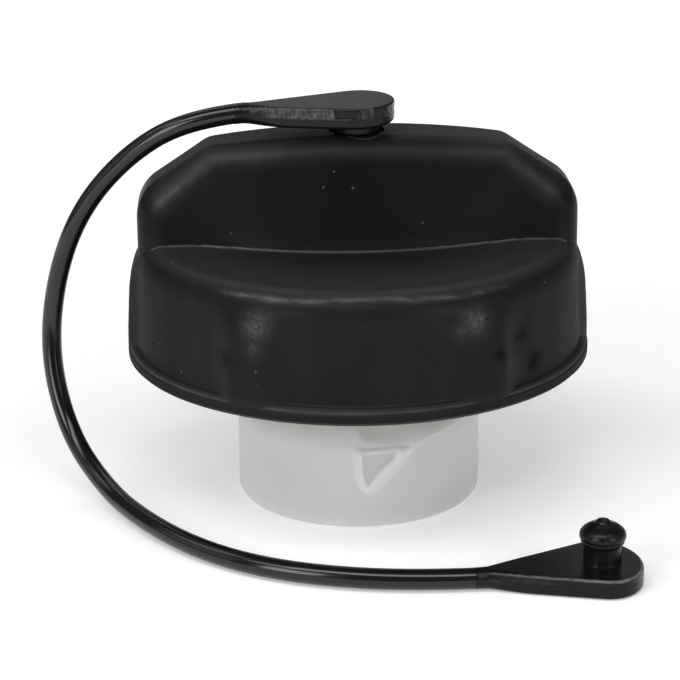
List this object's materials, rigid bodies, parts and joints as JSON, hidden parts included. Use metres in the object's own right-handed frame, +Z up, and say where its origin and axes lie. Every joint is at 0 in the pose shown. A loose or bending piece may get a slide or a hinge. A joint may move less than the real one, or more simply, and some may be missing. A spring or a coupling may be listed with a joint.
{
  "type": "fuel filler cap",
  "caption": "Twist-lock fuel filler cap: black domed grip with a cross bar, grey locking plug with cam lugs, sealing ring, inner relief valves and a black tether strap with a snap stud.",
  "frame": {"origin": "on the cap's turning axis, at the flat bottom ring of the plug, which is also the surface the cap stands on", "axes": "+Z up the turning axis towards the grip bar, X along the grip bar, -Y towards the free end of the tether"},
  "size_m": [0.1033, 0.0961, 0.0726],
  "materials": {
    "shell_plastic": "black moulded plastic with a fine satin grain and light scuffs",
    "hub_plastic": "natural acetal, slightly waxy",
    "plug_plastic": "light grey moulded plastic, satin",
    "valve_plastic": "natural white plastic",
    "seal_rubber": "smooth black rubber",
    "spring_steel": "drawn spring wire",
    "tether_plastic": "black flexible plastic with a soft gloss",
    "tether_end_plastic": "black glossy moulded plastic"
  },
  "bodies": {
    "closure": {"closure_body": "plug_plastic", "neck_gasket": "seal_rubber", "bottom_cover": "plug_plastic", "valve_housing": "valve_plastic", "housing_o_ring": "seal_rubber", "spring_retainer": "valve_plastic", "pressure_spring": "spring_steel"},
    "grip": {"outer_shell": "shell_plastic", "ratchet_hub": "hub_plastic"},
    "tether": {"tether_cap_end": "tether_end_plastic", "tether_strap": "tether_plastic", "tether_door_end": "tether_end_plastic"},
    "pressure_valve": {"pressure_plate": "valve_plastic", "valve_gasket": "seal_rubber", "vacuum_spring": "spring_steel"},
    "vacuum_valve": {"vacuum_poppet": "valve_plastic", "vacuum_spring_cap": "valve_plastic"}
  },
  "joints": [
    {"name": "grip_ratchet", "type": "hinge", "parent": "closure", "child": "grip", "pos_m": [0, 0, 0.0428], "axis": [0, 0, 1], "continuous": true},
    {"name": "tether_swivel", "type": "hinge", "parent": "grip", "child": "tether", "pos_m": [0, 0, 0.0663], "axis": [0, 0, 1], "continuous": true},
    {"name": "pressure_relief", "type": "slide", "parent": "closure", "child": "pressure_valve", "axis": [0, 0, 1], "range_m": [0, 0.003], "stiffness_N_per_m": 350, "springref_m": -0.017, "deforming": ["pressure_spring"]},
    {"name": "vacuum_relief", "type": "slide", "parent": "pressure_valve", "child": "vacuum_valve", "axis": [0, 0, -1], "range_m": [0, 0.002], "stiffness_N_per_m": 180, "springref_m": -0.0022, "deforming": ["vacuum_spring"]}
  ]
}
